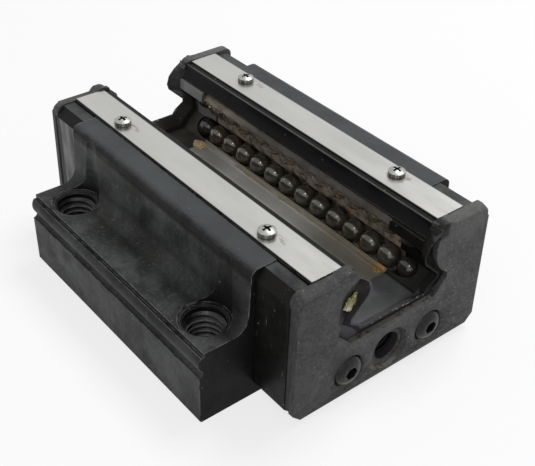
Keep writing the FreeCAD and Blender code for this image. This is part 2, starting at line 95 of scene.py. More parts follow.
LAND_Z = high_mm("carriage_body").z
STRIP_TOP_Z = high_mm("side_seal_strip_left").z
STRIP_X = (low_mm("side_seal_strip_right").x, high_mm("side_seal_strip_right").x)
STRIP_END_Y = high_mm("side_seal_strip_right").y
STRIP_SCREW_X = (low_mm("side_seal_screws_right").x + high_mm("side_seal_screws_right").x) / 2
STRIP_SCREW_R = (high_mm("side_seal_screws_right").x - low_mm("side_seal_screws_right").x) / 2
STRIP_SCREW_Y = high_mm("side_seal_screws_right").y - STRIP_SCREW_R
COVER_FRONT_Y = low_mm("end_cover_front").y
PLATE_FRONT_Y = low_mm("end_plate_front").y
PLATE_REAR_Y = high_mm("end_plate_rear").y
BODY_END_Y = high_mm("carriage_body").y
END_SCREW_R = (high_mm("end_screws_front").z - low_mm("end_screws_front").z) / 2
END_SCREW_X = high_mm("end_screws_front").x - END_SCREW_R
END_SCREW_Z = high_mm("end_screws_front").z - END_SCREW_R
FLANGE_TOP_Z = 16.0
THREAD_PITCH = 1.25
THREAD_SHARE = 0.54
HOLE_PLACE = (HOLES["spacing_x_mm"] / 2, HOLES["spacing_y_mm"] / 2)
CROWN_FOOT_Z = 27.2
BALL_R = (high_mm("balls_right_upper_track").x - low_mm("balls_right_upper_track").x) / 2
ROW_X = low_mm("balls_right_upper_track").x + BALL_R
ROW_Z = {level: low_mm("balls_right_%s_track" % level).z + BALL_R for level in ("lower", "upper")}
RIDGE_X = 10.25
RIDGE_Z = high_mm("side_seal_lip_right").z
TIP_Z = low_mm("side_seal_lip_right").z
NOTCH_X = (-1.0, 4.0)
ROW_BALLS = 12
BALL_PITCH = (high_mm("balls_right_upper_track").y - BALL_R) * 2 / (ROW_BALLS - 1)

# The chip in the front cover: an egg that bites into its left lobe
CHIP_PLACE = (-10.6, COVER_FRONT_Y - 1.45, 22.3)
CHIP_SIZE = (3.6, 2.75, 6.0)
CHIP_LEAN = math.radians(11.0)
WELD = 1e-6
COVER_SHARP = math.radians(32.0)
CROWN_SHARP = math.radians(40.0)
# A cover's top: its height by the strip and at the outer face, the hump's height and the shoulder's radius
CROWN_SHAPES = {
    ("front", "left"): (29.15, 28.75, 29.62, 1.7),
    ("front", "right"): (29.30, 28.95, 29.62, 1.3),
    ("rear", "left"): (29.0, 28.62, 29.86, 1.7),
    ("rear", "right"): (29.5, 29.5, 29.62, 1.4),
}
# Its rounded outer edge: depth before the outer face, and how far the skin draws in there
CROWN_EDGE = ((0.6, 0.0), (0.25, 0.10), (0.08, 0.24), (0.01, 0.42))


class Look:
    """A procedural material, built up node by node. Lengths are in millimetres."""

    def __init__(self, name, metallic=0.0, specular=0.5):
        self.material = bpy.data.materials.new(name)
        self.material.use_nodes = True
        self.nodes = self.material.node_tree.nodes
        self.links = self.material.node_tree.links
        self.shader = self.nodes["Principled BSDF"]
        self.shader.inputs["Metallic"].default_value = metallic
        self.shader.inputs["Specular IOR Level"].default_value = specular

    def add(self, kind, inputs, **settings):
        """A new node with its settings and inputs."""
        node = self.nodes.new(kind)
        for name, value in settings.items():
            setattr(node, name, value)
        for name, value in inputs.items():
            self.feed(node.inputs[name], value)
        return node

    def feed(self, socket, value):
        """Link an output to a socket, or set a constant on it."""
        if isinstance(value, bpy.types.NodeSocket):
            self.links.new(value, socket)
        elif isinstance(value, tuple) and socket.type == "RGBA":
            socket.default_value = (*value, 1.0)
        else:
            socket.default_value = value

    def set(self, socket, value):
        """Feed one socket of the material's shader."""
        self.feed(self.shader.inputs[socket], value)

    def place(self, stretch=(1, 1, 1)):
        """Places on the object in millimetres, stretched along the axes."""
        coords = self.add("ShaderNodeTexCoord", {}).outputs["Object"]
        scale = [value / MM for value in stretch]
        return self.add("ShaderNodeMapping", {"Vector": coords, "Scale": scale}).outputs["Vector"]

    def axis(self, name):
        """One coordinate of the place, in millimetres."""
        return self.add("ShaderNodeSeparateXYZ", {"Vector": self.place()}).outputs[name]

    def noise(self, size, detail=3.0, stretch=(1, 1, 1), seed=0.0):
        """Smooth noise whose patches are about size across."""
        inputs = {"Vector": self.place(stretch), "W": seed, "Scale": 1 / size, "Detail": detail}
        return self.add("ShaderNodeTexNoise", inputs, noise_dimensions="4D").outputs["Fac"]

    def ramp(self, value, low, high, start=0.0, end=1.0):
        """A smooth step of value from start, at low, to end, at high."""
        inputs = {"Value": value, "From Min": low, "From Max": high, "To Min": start, "To Max": end}
        node = self.add("ShaderNodeMapRange", inputs, interpolation_type="SMOOTHSTEP")
        return node.outputs["Result"]

    def past(self, name, low, high, start=0.0, end=1.0):
        """A smooth step along one axis, in millimetres."""
        return self.ramp(self.axis(name), low, high, start, end)

    def patchy(self, size, low, high, **settings):
        """Patches about size across: 0 where the noise is under low and 1 where it is over high."""
        return self.ramp(self.noise(size, **settings), low, high)

    def apart(self, name):
        """The distance from the middle along one axis, in millimetres."""
        return self.math("ABSOLUTE", self.axis(name), 0.0)

    def math(self, operation, first, second):
        """Two values joined by an operation."""
        node = self.nodes.new("ShaderNodeMath")
        node.operation = operation
        self.feed(node.inputs[0], first)
        self.feed(node.inputs[1], second)
        return node.outputs[0]

    def times(self, *values):
        """The product of the values."""
        product = values[0]
        for value in values[1:]:
            product = self.math("MULTIPLY", product, value)
        return product

    def most(self, *values):
        """The largest of the values."""
        top = values[0]
        for value in values[1:]:
            top = self.math("MAXIMUM", top, value)
        return top

    def mix(self, amount, first, second):
        """The first colour where amount is 0 and the second where it is 1."""
        node = self.nodes.new("ShaderNodeMix")
        node.data_type = "RGBA"
        sockets = {socket.identifier: socket for socket in node.inputs}
        self.feed(sockets["Factor_Float"], amount)
        self.feed(sockets["A_Color"], first)
        self.feed(sockets["B_Color"], second)
        return next(socket for socket in node.outputs if socket.identifier == "Result_Color")

    def coat(self, colour, paint, *shares):
        """A colour under a paint that covers it by the product of the shares."""
        return self.mix(self.times(*shares), colour, paint)

    def specks(self, size, share, seed=0.0):
        """Small round dots, about size apart, of which a share shows."""
        inputs = {"Vector": self.place(), "W": seed, "Scale": 1 / size}
        cells = self.add("ShaderNodeTexVoronoi", inputs, voronoi_dimensions="4D")
        chosen = self.add("ShaderNodeSeparateColor", {"Color": cells.outputs["Color"]})
        shown = self.ramp(chosen.outputs["Red"], 1 - share, 1 - share + 0.02)
        return self.times(self.ramp(cells.outputs["Distance"], 0.34, 0.18), shown)

    def spot(self, centre, radius, stretch=(1, 1, 1), ragged=0.5, size=0.8):
        """A patch round a point, with a ragged edge."""
        scaled = [c * s for c, s in zip(centre, stretch)]
        inputs = {0: self.place(stretch), 1: scaled}
        apart = self.add("ShaderNodeVectorMath", inputs, operation="DISTANCE").outputs["Value"]
        shift = self.times(self.math("SUBTRACT", self.noise(size), 0.5), ragged * 2 * radius)
        return self.ramp(self.math("ADD", apart, shift), radius, radius * 0.35)

    def edges(self, radius):
        """How sharply the surface turns near a place, from 0 on a flat to 1 on an edge."""
        soft = self.add("ShaderNodeBevel", {"Radius": radius * MM}, samples=6).outputs["Normal"]
        true = self.add("ShaderNodeNewGeometry", {}).outputs["Normal"]
        along = self.add("ShaderNodeVectorMath", {0: soft, 1: true}, operation="DOT_PRODUCT")
        return self.ramp(along.outputs["Value"], 0.985, 0.86)

    def corners(self, distance):
        """How closed in a place is, from 0 in the open to 1 in a tight corner."""
        inputs = {"Distance": distance * MM}
        light = self.add("ShaderNodeAmbientOcclusion", inputs, samples=6).outputs["AO"]
        return self.ramp(light, 0.85, 0.35)

    def within(self, name, low, high, soft):
        """1 where a coordinate lies between two values, with soft ends."""
        risen = self.past(name, low - soft, low + soft)
        return self.times(risen, self.past(name, high + soft, high - soft))

    def half(self, end):
        """1 in the front or the rear half of the block, and 0 in the other."""
        return self.past("Y", 0.0, ENDS[end])

    def facing(self, name, low, high):
        """How far the surface turns towards an axis, from 0 at low to 1 at high."""
        true = self.add("ShaderNodeNewGeometry", {}).outputs["True Normal"]
        turned = self.add("ShaderNodeSeparateXYZ", {"Vector": true}).outputs[name]
        return self.ramp(turned, low, high)

    def relief(self, height, depth, round_edges=0.0):
        """Bump of a depth, over edges that are rounded off by a radius."""
        inputs = {"Height": height, "Distance": depth * MM, "Strength": 1.0}
        if round_edges:
            soft = self.add("ShaderNodeBevel", {"Radius": round_edges * MM}, samples=6)
            inputs["Normal"] = soft.outputs["Normal"]
        self.set("Normal", self.add("ShaderNodeBump", inputs).outputs["Normal"])


# Materials

def oxide_steel():
    """Dark oxide on ground steel, rubbed along its edges, with dust and old grease in the grooves."""
    look = Look("oxide_steel", specular=0.07)
    patches = look.patchy(9.0, 0.3, 0.7)
    grain = look.noise(0.35, detail=4.0)
    colour = look.mix(patches, (0.022, 0.023, 0.024), (0.072, 0.074, 0.075))
    flecks = look.noise(0.6, detail=2.0, seed=17.0)
    colour = look.coat(colour, (0.110, 0.111, 0.109), look.ramp(flecks, 0.55, 0.68), 0.35)
    colour = look.coat(colour, (0.014, 0.014, 0.014), look.ramp(flecks, 0.45, 0.33), 0.35)
    streaks = look.patchy(1.1, 0.45, 0.7, stretch=(1, 1, 0.06))
    colour = look.coat(colour, (0.066, 0.067, 0.066), streaks, 0.3)
    # Brown film where oil has dried, dark blotches, and painted shade on the faces turned to the front and
    # in corners
    film = look.times(look.patchy(6.0, 0.5, 0.7, seed=9.0), 0.5)
    colour = look.coat(colour, (0.038, 0.033, 0.025), film)
    blotches = look.times(look.patchy(5.5, 0.54, 0.66, seed=15.0), 0.6)
    colour = look.coat(colour, (0.011, 0.0112, 0.0115), blotches)
    ends = look.facing("Y", -0.6, -0.95)
    colour = look.coat(colour, (0.006, 0.006, 0.0058), ends, 0.88)
    colour = look.coat(colour, (0.0045, 0.0044, 0.004), look.corners(9.0), 0.9)
    upward = look.facing("Z", 0.7, 0.95)
    # Darker patches round the front holes, and grit on the flange tops
    hole_patch_r = 8.5
    for across in SIDES.values():
        centre = (across * (HOLE_PLACE[0] - 2.0), -HOLE_PLACE[1] - 0.5, FLANGE_TOP_Z)
        hole_patch = look.spot(centre, hole_patch_r, stretch=(1, 1, 0.6), ragged=0.22, size=3.0)
        colour = look.coat(colour, (0.0075, 0.0075, 0.0072), hole_patch, 0.8)
    flange = look.times(upward, look.past("Z", FLANGE_TOP_Z + 1.5, FLANGE_TOP_Z + 0.5))
    gritty = look.patchy(4.0, 0.46, 0.60, seed=16.0)
    grit = look.times(flange, look.specks(0.45, 0.20, seed=4.0), gritty, 0.6)
    colour = look.coat(colour, (0.32, 0.31, 0.28), grit)
    # The ground upper faces are bluer, and scuffed along the rail
    land = look.times(upward, look.past("Z", LAND_Z - 0.4, LAND_Z - 0.1))
    ground = look.mix(patches, (0.050, 0.054, 0.058), (0.064, 0.069, 0.073))
    colour = look.coat(colour, ground, land, 0.9)
    scuffs = look.patchy(0.5, 0.60, 0.72, stretch=(1, 0.22, 1), seed=8.0)
    rubbed_land = look.times(land, scuffs, look.patchy(6.0, 0.52, 0.62, seed=11.0), 0.45)
    colour = look.coat(colour, (0.20, 0.205, 0.205), rubbed_land)
    # Painted shade along the rib's step, and along the rounded shoulder below each ground face
    rib_x = (33.0, 33.8)
    rib_z = (12.0, 15.95)
    rib = look.times(look.within("Z", *rib_z, 0.3), look.ramp(look.apart("X"), *rib_x))
    colour = look.coat(colour, (0.013, 0.013, 0.0125), rib, 0.4)
    shoulder_x = (22.0, 22.8)
    shoulder = look.within("Z", LAND_Z - 2.6, LAND_Z - 0.5, 0.5)
    outside = look.ramp(look.apart("X"), *shoulder_x)
    colour = look.coat(colour, (0.010, 0.0095, 0.009), shoulder, outside, 0.8)
    dust = look.times(look.specks(0.8, 0.14), look.patchy(5.0, 0.5, 0.62, seed=3.0), 0.55)
    colour = look.coat(colour, (0.30, 0.29, 0.23), dust)
    rubbed = look.times(look.edges(0.30), look.patchy(1.6, 0.34, 0.56, seed=5.0), 0.8)
    colour = look.coat(colour, (0.24, 0.24, 0.24), rubbed)
    # Brown grease in and between the ball grooves, painted paler as painted light against the shade there
    inside = look.ramp(look.apart("X"), ROW_X + 3.4, ROW_X + 2.4)
    above = look.past("Z", ROW_Z["lower"] - 3.0, ROW_Z["lower"] - 2.0)
    grease_and_light = look.times(inside, above, look.patchy(1.8, 0.3, 0.6, seed=7.0))
    colour = look.coat(colour, (0.42, 0.35, 0.28), grease_and_light)
    amber_place = (ROW_X + 1.2, -15.0, (ROW_Z["lower"] + ROW_Z["upper"]) / 2)
    amber = look.spot(amber_place, 1.3, ragged=0.4)
    colour = look.coat(colour, (0.45, 0.22, 0.04), amber, 0.8)
    look.set("Base Color", colour)
    look.set("Roughness", look.ramp(look.noise(2.4, seed=2.0), 0.2, 0.8, 0.34, 0.52))
    look.relief(look.math("ADD", grain, look.times(streaks, 0.6)), 0.03, round_edges=0.3)
    return look.material


def thread_steel():
    """Dark oxide in the tapped holes, rubbed bright along the crests of the threads."""
    look = Look("thread_steel", specular=0.3)
    oil = look.patchy(2.0, 0.35, 0.65)
    colour = look.mix(oil, (0.010, 0.010, 0.0095), (0.030, 0.030, 0.029))
    beside = {name: look.apart(name) for name in ("X", "Y")}
    place = look.add("ShaderNodeCombineXYZ", beside).outputs["Vector"]
    inputs = {0: place, 1: (*HOLE_PLACE, 0.0)}
    radius = look.add("ShaderNodeVectorMath", inputs, operation="DISTANCE").outputs["Value"]
    crest_r = HOLES["hole_r_mm"] - THREAD_SHARE * THREAD_PITCH
    rubbed = look.patchy(2.2, 0.34, 0.56, seed=3.0)
    crests = look.times(look.ramp(radius, crest_r + 0.20, crest_r + 0.06), rubbed)
    look.set("Base Color", look.coat(colour, (0.20, 0.20, 0.195), crests, 0.7))
    look.set("Roughness", look.ramp(oil, 0.0, 1.0, 0.26, 0.42))
    look.relief(look.noise(0.4), 0.015, round_edges=0.06)
    return look.material


def satin_steel():
    """Satin rolled strip with fine lines along its length and dirt beside each screw."""
    look = Look("satin_steel", metallic=1.0)
    lines = look.noise(0.16, detail=4.0, stretch=(1, 0.02, 1))
    clouds = look.noise(7.0, stretch=(1, 0.4, 1))
    colour = look.mix(clouds, (0.43, 0.427, 0.405), (0.52, 0.517, 0.498))
    colour = look.coat(colour, (0.35, 0.35, 0.335), look.ramp(lines, 0.55, 0.75), 0.25)
    for side in SIDES.values():
        for end in ENDS.values():
            screw = (side * STRIP_SCREW_X, end * STRIP_SCREW_Y, STRIP_TOP_Z)
            ring = look.spot(screw, STRIP_SCREW_R + 0.6, ragged=0.25)
            beside = (screw[0] + 0.9, screw[1] - 2.4, screw[2])
            smear = look.spot(beside, 1.9, stretch=(1.6, 0.6, 1))
            streak = look.patchy(0.4, 0.45, 0.62, stretch=(1, 0.25, 1), seed=4.0)
            dirt = look.most(look.times(ring, 0.8), look.times(smear, streak, 0.55))
            colour = look.coat(colour, (0.13, 0.115, 0.09), dirt)
    # Painted shade along the rolled edges and across both ends
    across = look.apart("X")
    rim_shade = look.most(look.ramp(across, STRIP_X[0] + 0.22, STRIP_X[0] + 0.05),
                     look.ramp(across, STRIP_X[1] - 0.22, STRIP_X[1] - 0.05))
    rim_shade = look.most(rim_shade, look.ramp(look.apart("Y"), STRIP_END_Y - 0.16, STRIP_END_Y - 0.06))
    colour = look.coat(colour, (0.10, 0.098, 0.09), rim_shade, 0.85)
    look.set("Base Color", colour)
    look.set("Roughness", look.ramp(look.noise(3.0, stretch=(1, 0.2, 1)), 0.3, 0.7, 0.24, 0.33))
    look.relief(lines, 0.006, round_edges=0.12)
    return look.material


def ball_steel():
    """Bearing steel under a wet, patchy film of brown grease, with painted shade on the balls inside the
    end plates.
    """
    look = Look("ball_steel", metallic=0.2, specular=0.3)
    film = look.patchy(1.3, 0.30, 0.60, detail=4.0)
    colour = look.mix(film, (0.110, 0.102, 0.088), (0.055, 0.046, 0.033))
    brown_y = (10.0, 22.0)
    colour = look.coat(colour, (0.070, 0.053, 0.035), look.past("Y", *brown_y), 0.7)
    # Painted shade: the balls inside the end plates are near black
    turns = look.ramp(look.apart("Y"), BODY_END_Y - 0.5, BODY_END_Y + 1.5)
    look.set("Base Color", look.coat(colour, (0.007, 0.006, 0.0045), turns, 0.9))
    look.set("Roughness", look.math("ADD", look.ramp(film, 0.0, 1.0, 0.13, 0.28), look.times(turns, 0.4)))
    look.set("Coat Weight", 1.0)
    look.set("Coat Roughness", 0.03)
    look.relief(look.noise(0.5), 0.012)
    return look.material


def bright_screw():
    """Bright plated steel, dull down its sides, with painted shade in the recess."""
    look = Look("bright_screw", metallic=1.0)
    scuffs = look.noise(0.3, detail=4.0)
    colour = look.mix(scuffs, (0.25, 0.247, 0.237), (0.43, 0.43, 0.417))
    ribs = look.patchy(0.30, 0.35, 0.65, stretch=(1, 1, 0.1), seed=2.0)
    sides = look.facing("Z", 0.5, 0.1)
    colour = look.coat(colour, look.mix(ribs, (0.06, 0.06, 0.057), (0.26, 0.26, 0.25)), sides)
    # Painted shade in the recess
    look.set("Base Color", look.coat(colour, (0.03, 0.027, 0.022), look.corners(0.7)))
    look.set("Roughness", look.ramp(scuffs, 0.3, 0.7, 0.32, 0.46))
    look.relief(scuffs, 0.01, round_edges=0.08)
    return look.material


def black_screw():
    """Dark oxide screw, rubbed bright on its crown, with painted shade round the head."""
    look = Look("black_screw", specular=0.24)
    scuffs = look.noise(0.7, detail=4.0)
    colour = look.mix(look.ramp(scuffs, 0.35, 0.7), (0.005, 0.005, 0.0047), (0.014, 0.014, 0.0134))
    colour = look.coat(colour, (0.11, 0.11, 0.105), look.edges(0.15), 0.4)
    # Painted shade round the head
    look.set("Base Color", look.coat(colour, (0.006, 0.005, 0.0045), look.corners(1.0)))
    look.set("Roughness", look.ramp(scuffs, 0.3, 0.7, 0.18, 0.32))
    look.relief(scuffs, 0.012, round_edges=0.1)
    return look.material


def black_resin(name="black_resin"):
    """Moulded black resin with a fine grain, greyed by dust where it lies open."""
    look = Look(name, specular=0.08)
    grain = look.noise(0.25, detail=3.0)
    clouds = look.patchy(4.0, 0.42, 0.72, detail=5.0)
    colour = look.mix(clouds, (0.022, 0.022, 0.0225), (0.046, 0.046, 0.046))
    # Dust on the flat top, painted shade on the sloping edges, and dirt with painted shade in the corners
    upward = look.facing("Z", 0.85, 0.97)
    dusted = look.mix(clouds, (0.066, 0.070, 0.070), (0.094, 0.099, 0.098))
    colour = look.coat(colour, dusted, upward, 0.7)
    slope_z = (24.0, 25.0)
    sloping = look.times(look.facing("Z", 0.25, 0.4), look.facing("Z", 0.9, 0.8), look.past("Z", *slope_z))
    colour = look.coat(colour, (0.008, 0.008, 0.0077), sloping, 0.92)
    dirt_and_shade = look.times(look.patchy(5.0, 0.46, 0.66, detail=5.0, seed=14.0), 0.6)
    dirt_and_shade = look.most(dirt_and_shade, look.times(look.corners(9.0), 0.8))
    colour = look.coat(colour, (0.0085, 0.0078, 0.0065), dirt_and_shade)
    # Dust and dried grease in the rail opening, with painted shade on the front's left, and darker on the
    # rear's right
    front = look.half("front")
    floor_z = (11.5, 12.5)
    opening = look.times(look.ramp(look.apart("X"), ROW_X + 2.0, ROW_X + 1.0), look.past("Z", *floor_z))
    dried = look.mix(clouds, (0.110, 0.112, 0.116), (0.165, 0.168, 0.173))
    colour = look.coat(colour, dried, opening, 0.85)
    shade_x = (5.0, 0.0)
    shaded = look.times(opening, front, look.past("X", *shade_x))
    colour = look.coat(colour, (0.052, 0.053, 0.053), shaded, 0.5)
    notch = look.times(opening, look.half("rear"), look.past("X", *NOTCH_X))
    smeared = look.mix(clouds, (0.038, 0.035, 0.029), (0.080, 0.074, 0.061))
    colour = look.coat(colour, smeared, notch, 0.92)
    # Old oil and painted shade at the front's right, on the wall above the floor and in the scoop of the
    # turn
    wall_x = (7.4, 8.0)
    wall_z = (14.2, 15.4)
    scoop_x = (8.1, 8.8)
    wall = look.times(look.past("X", *wall_x), look.past("Z", *wall_z))
    oil_and_shade = look.times(opening, front, look.most(wall, look.past("X", *scoop_x)))
    oil = look.mix(clouds, (0.008, 0.0073, 0.0056), (0.018, 0.0165, 0.013))
    colour = look.coat(colour, oil, oil_and_shade, 0.9)
    # Painted light on the block beside the right lip at the rear
    block_x = (7.6, 9.0)
    block_z = (22.6, 23.4)
    block = look.times(look.within("X", *block_x, 0.3), look.past("Z", *block_z),
                       look.past("Y", BODY_END_Y - 0.2, BODY_END_Y + 0.2))
    colour = look.coat(colour, (0.17, 0.17, 0.169), block, 0.9)
    # The left flank has painted shade at the front, and is rubbed pale where the rear end stands free
    flank = look.facing("X", -0.8, -0.98)
    colour = look.coat(colour, (0.005, 0.005, 0.0045), flank, front, 0.8)
    side = look.times(flank, look.past("Y", BODY_END_Y, BODY_END_Y + 0.5),
                      look.past("Y", PLATE_REAR_Y - 0.9, PLATE_REAR_Y - 1.7))
    rub = look.patchy(3.5, 0.25, 0.6, stretch=(1, 1, 0.3), seed=4.0)
    colour = look.coat(colour, (0.24, 0.24, 0.245), side, rub, 0.9)
    # Upright scores and specks all over
    scores = look.patchy(0.30, 0.66, 0.74, stretch=(1, 1, 0.07), seed=12.0)
    scored = look.times(scores, look.patchy(4.5, 0.44, 0.56, seed=13.0), 0.7)
    colour = look.coat(colour, (0.20, 0.195, 0.15), scored)
    specks = look.times(look.specks(0.7, 0.12), look.patchy(4.0, 0.45, 0.6, seed=6.0), 0.6)
    look.set("Base Color", look.coat(colour, (0.32, 0.31, 0.24), specks))
    look.set("Roughness", look.ramp(look.noise(2.0), 0.3, 0.7, 0.32, 0.48))
    look.relief(grain, 0.02, round_edges=0.3)
    return look.material


def lip_rubber():
    """Smooth black rubber with a light bloom and a little dust, rubbed pale on its edges."""
    look = Look("lip_rubber", specular=0.08)
    bloom = look.patchy(2.6, 0.4, 0.75, stretch=(1, 0.3, 1))
    colour = look.mix(bloom, (0.0035, 0.0035, 0.0034), (0.0095, 0.0095, 0.0092))
    # Painted highlights: a thin pale line along the right lip's ridge, and along the tip's front end
    line_x = (RIDGE_X - 0.35, RIDGE_X + 0.10)
    tip_y = (-14.0, -20.0)
    ridge = look.times(look.past("Z", RIDGE_Z - 0.3, RIDGE_Z - 0.15), look.within("X", *line_x, 0.08))
    tip = look.times(look.past("Z", TIP_Z + 0.22, TIP_Z + 0.06), look.past("Y", *tip_y))
    broken = look.patchy(3.0, 0.25, 0.5, stretch=(1, 0.3, 1), seed=6.0)
    colour = look.coat(colour, (0.16, 0.16, 0.155), look.most(ridge, tip), broken, 0.85)
    ends = look.most(look.facing("Y", -0.8, -0.95), look.facing("Y", 0.8, 0.95))
    colour = look.coat(colour, (0.058, 0.058, 0.060), ends)
    worn = look.times(look.edges(0.10), look.patchy(2.0, 0.30, 0.55, seed=3.0), 0.8)
    colour = look.coat(colour, (0.20, 0.20, 0.19), worn)
    specks = look.times(look.specks(0.7, 0.06), 0.4)
    look.set("Base Color", look.coat(colour, (0.24, 0.23, 0.19), specks))
    look.set("Roughness", look.ramp(bloom, 0.0, 1.0, 0.34, 0.50))
    look.relief(look.noise(0.4), 0.015, round_edges=0.12)
    return look.material


def seal_rubber():
    """Rubber of the end seals: grey on the rim and crest, dark with old grease in between."""
    look = Look("seal_rubber", specular=0.05)
    bloom = look.patchy(2.6, 0.35, 0.70)
    colour = look.mix(bloom, (0.013, 0.0122, 0.0115), (0.032, 0.030, 0.028))
    low_z = (20.5, 19.0)
    low = look.past("Z", *low_z)
    colour = look.coat(colour, (0.033, 0.030, 0.036), low, 0.8)
    rear = look.half("rear")
    dusty = look.times(rear, look.patchy(3.0, 0.2, 0.6, seed=8.0))
    colour = look.coat(colour, (0.060, 0.060, 0.059), dusty, 0.6)
    notch = look.times(rear, low, look.past("X", *NOTCH_X))
    colour = look.coat(colour, (0.024, 0.022, 0.0175), notch, 0.9)
    # At the front the left foot is bloomed, the slope behind the crest dusty, and the right lip black with
    # oil and painted shade
    foot_x = (-7.5, -8.5)
    slope_z = (18.5, 17.0)
    lip_x = (4.5, 5.5)
    lip_z = (14.4, 15.4)
    front = look.half("front")
    foot = look.times(front, low, look.past("X", *foot_x), look.facing("Y", -0.8, -0.95))
    colour = look.coat(colour, (0.080, 0.076, 0.086), foot, 0.9)
    slope = look.times(front, look.facing("Y", 0.3, 0.5), look.past("Z", *slope_z))
    dust = look.mix(bloom, (0.052, 0.053, 0.054), (0.095, 0.097, 0.097))
    colour = look.coat(colour, dust, slope, 0.85)
    lip = look.times(front, look.past("X", *lip_x), look.past("Z", *lip_z))
    oil = look.mix(bloom, (0.007, 0.0066, 0.006), (0.016, 0.015, 0.013))
    colour = look.coat(colour, oil, lip, 0.9)
    # The rim and the crown are as grey as the cover that they lie behind
    rim_x = (20.5, 21.5)
    rim_z = (3.0, 2.0)
    crown = look.past("Z", CROWN_FOOT_Z - 0.3, CROWN_FOOT_Z + 0.3)
    rim = look.most(crown, look.ramp(look.apart("X"), *rim_x), look.past("Z", *rim_z))
    colour = look.coat(colour, look.mix(bloom, (0.046, 0.046, 0.048), (0.068, 0.068, 0.069)), rim)
    # A painted highlight along the crest on the left, and flecks of white dust along the floor
    left_x = (-6.0, -6.2)
    left_z = (16.2, 17.0)
    floor_z = (17.5, 16.5)
    along = look.apart("Y")
    crest = look.ramp(along, -COVER_FRONT_Y - 0.14, -COVER_FRONT_Y - 0.04)
    left = look.times(crest, look.past("X", *left_x), look.past("Z", *left_z))
    colour = look.coat(colour, (0.090, 0.087, 0.098), left, 0.9)
    wide_crest = look.ramp(along, -COVER_FRONT_Y - 0.5, -COVER_FRONT_Y - 0.2)
    floor_crest = look.times(wide_crest, look.past("Z", *floor_z))
    flecks = look.times(floor_crest, look.patchy(0.45, 0.56, 0.64, stretch=(0.6, 1, 1), seed=5.0))
    colour = look.coat(colour, (0.42, 0.41, 0.37), flecks, 0.8)
    specks = look.times(look.specks(0.6, 0.08), 0.5)
    look.set("Base Color", look.coat(colour, (0.26, 0.25, 0.21), specks))
    look.set("Roughness", look.ramp(bloom, 0.0, 1.0, 0.46, 0.62))
    look.relief(look.noise(0.4), 0.02, round_edges=0.15)
    return look.material


